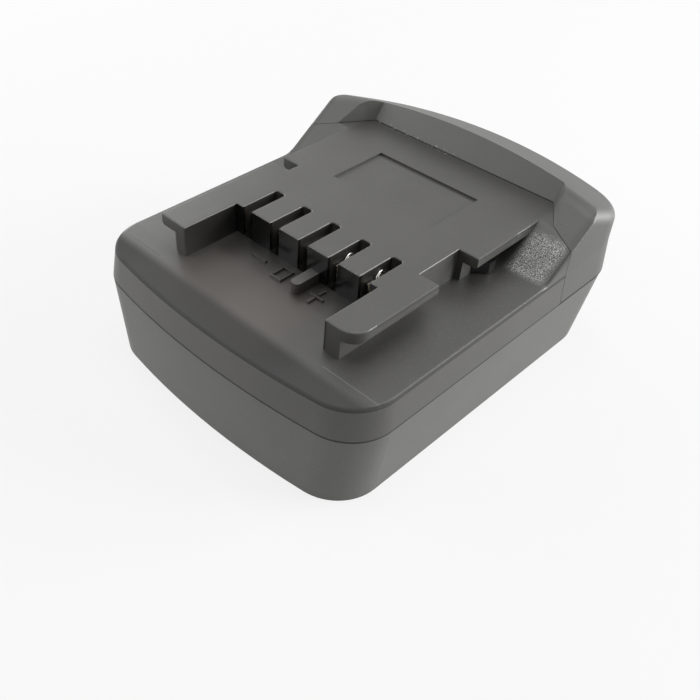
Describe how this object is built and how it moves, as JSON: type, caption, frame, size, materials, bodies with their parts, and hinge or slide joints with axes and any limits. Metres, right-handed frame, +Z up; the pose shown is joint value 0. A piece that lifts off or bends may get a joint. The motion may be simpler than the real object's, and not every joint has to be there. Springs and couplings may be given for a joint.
{
  "type": "tool battery adapter",
  "caption": "Slide-on adapter with T-shaped rails and a contact comb on top, a pack channel underneath and a sprung release key at the rear.",
  "frame": {"origin": "middle of the flat bottom rim, under the centre of the case", "axes": "+Z up out of the tool's side, +Y towards the ridge and the release key, X across the rails"},
  "size_m": [0.0798, 0.1, 0.0396],
  "materials": {
    "case_plastic": "fine spark-eroded texture",
    "insulator_plastic": "moulded, satin",
    "latch_plastic": "moulded, smooth",
    "contact_metal": "tin-plated, stamped",
    "spring_steel": "drawn, bright",
    "screw_steel": "zinc-plated",
    "board_laminate": "solder-masked laminate",
    "chip_plastic": "moulded package with tinned legs",
    "capacitor_can": "drawn can",
    "signal_lead_sheath": "extruded sheath",
    "negative_lead_sheath": "extruded sheath",
    "positive_lead_sheath": "extruded sheath"
  },
  "bodies": {
    "housing": {"lower_shell": "case_plastic", "terminal_block": "insulator_plastic", "positive_blade": "contact_metal", "negative_blade": "contact_metal", "right_signal_blade": "contact_metal", "left_signal_blade": "contact_metal", "block_screws": "screw_steel", "contact_carrier": "insulator_plastic", "carrier_screws": "screw_steel", "negative_contact": "contact_metal", "left_signal_contact": "contact_metal", "middle_signal_contact": "contact_metal", "right_signal_contact": "contact_metal", "positive_contact": "contact_metal", "circuit_board": "board_laminate", "board_screws": "screw_steel", "control_chip": "chip_plastic", "capacitor": "capacitor_can", "left_guide_pin": "spring_steel", "right_guide_pin": "spring_steel", "left_key_spring": "spring_steel", "right_key_spring": "spring_steel", "left_signal_lead": "signal_lead_sheath", "right_signal_lead": "signal_lead_sheath", "negative_lead": "negative_lead_sheath", "positive_lead": "positive_lead_sheath", "top_cover": "case_plastic", "case_screws": "screw_steel"},
    "key": {"release_key": "case_plastic", "latch_slide": "latch_plastic", "key_screws": "screw_steel"},
    "left_catch_body": {"left_catch": "latch_plastic"},
    "right_catch_body": {"right_catch": "latch_plastic"}
  },
  "joints": [
    {"name": "key_slide", "type": "slide", "parent": "housing", "child": "key", "axis": [0, 1, 0], "range_m": [0, 0.0035], "stiffness_N_per_m": 400, "springref_m": -0.005, "deforming": ["left_key_spring", "right_key_spring"]},
    {"name": "left_catch_slide", "type": "slide", "parent": "housing", "child": "left_catch_body", "axis": [1, 0, 0], "range_m": [0, 0.0028]},
    {"name": "right_catch_slide", "type": "slide", "parent": "housing", "child": "right_catch_body", "axis": [-1, 0, 0], "range_m": [0, 0.0028]}
  ],
  "couplings": [
    {"joint": "left_catch_slide", "follows": "key_slide", "ratio": 0.8},
    {"joint": "right_catch_slide", "follows": "key_slide", "ratio": 0.8}
  ]
}
